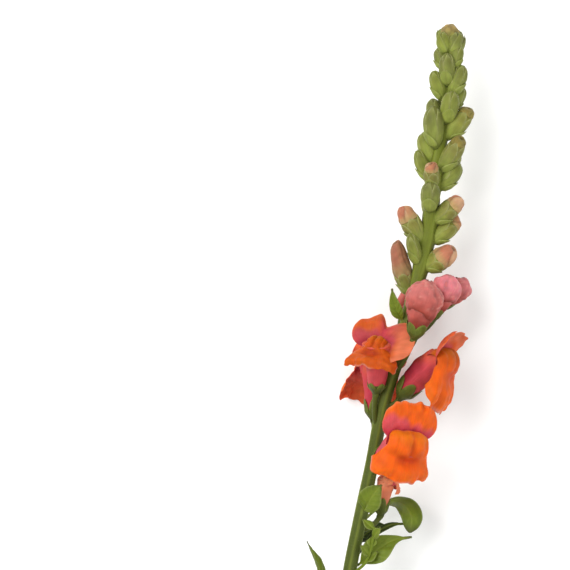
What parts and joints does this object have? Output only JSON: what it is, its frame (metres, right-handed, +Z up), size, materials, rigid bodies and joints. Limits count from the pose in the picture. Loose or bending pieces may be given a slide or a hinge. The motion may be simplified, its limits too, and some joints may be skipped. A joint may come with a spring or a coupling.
{
  "type": "snapdragon stem",
  "caption": "One cut snapdragon stem lying on a surface: slender leafy stem, two-lipped orange open flowers, dusty pink folded buds and a tapering spike of green buds.",
  "frame": {"origin": "on the resting surface, in the middle of the small flat spot under the cut end of the stem", "axes": "+Y along the stem from the cut end to the tip of the bud spike, +Z up from the resting surface, +X to the right as seen from above with the tip away from the viewer"},
  "size_m": [0.1021, 0.5051, 0.0651],
  "materials": {
    "stem": "matte",
    "leaf": "matte",
    "orange": "matte",
    "pink": "matte",
    "bud_tip": "matte"
  },
  "bodies": {
    "root": {"stem": "stem", "corolla_front": "orange", "corolla_left": "orange", "corolla_right": "orange", "corolla_low": "orange", "corolla_under": "orange", "pink_bud_front": "pink", "pink_bud_right": "pink", "pink_bud_far": "pink", "pink_bud_under": "pink", "bud_tip_1": "bud_tip", "bud_tip_2": "bud_tip", "bud_tip_3": "bud_tip", "bud_tip_4": "bud_tip", "bud_tip_5": "bud_tip", "bud_tip_6": "bud_tip", "bud_tip_7": "bud_tip", "bud_tip_8": "bud_tip", "bud_tip_9": "bud_tip", "bud_tip_10": "bud_tip", "leaf_front": "leaf", "leaf_arching": "leaf", "leaf_dark": "leaf", "leaf_long": "leaf", "leaf_narrow": "leaf", "bract_left": "leaf", "side_shoot": "leaf", "leaf_lower_1": "leaf", "leaf_lower_2": "leaf", "leaf_lower_3": "leaf", "leaf_lower_4": "leaf", "leaf_lower_5": "leaf", "leaf_lower_6": "leaf", "leaf_lower_7": "leaf"}
  },
  "joints": []
}
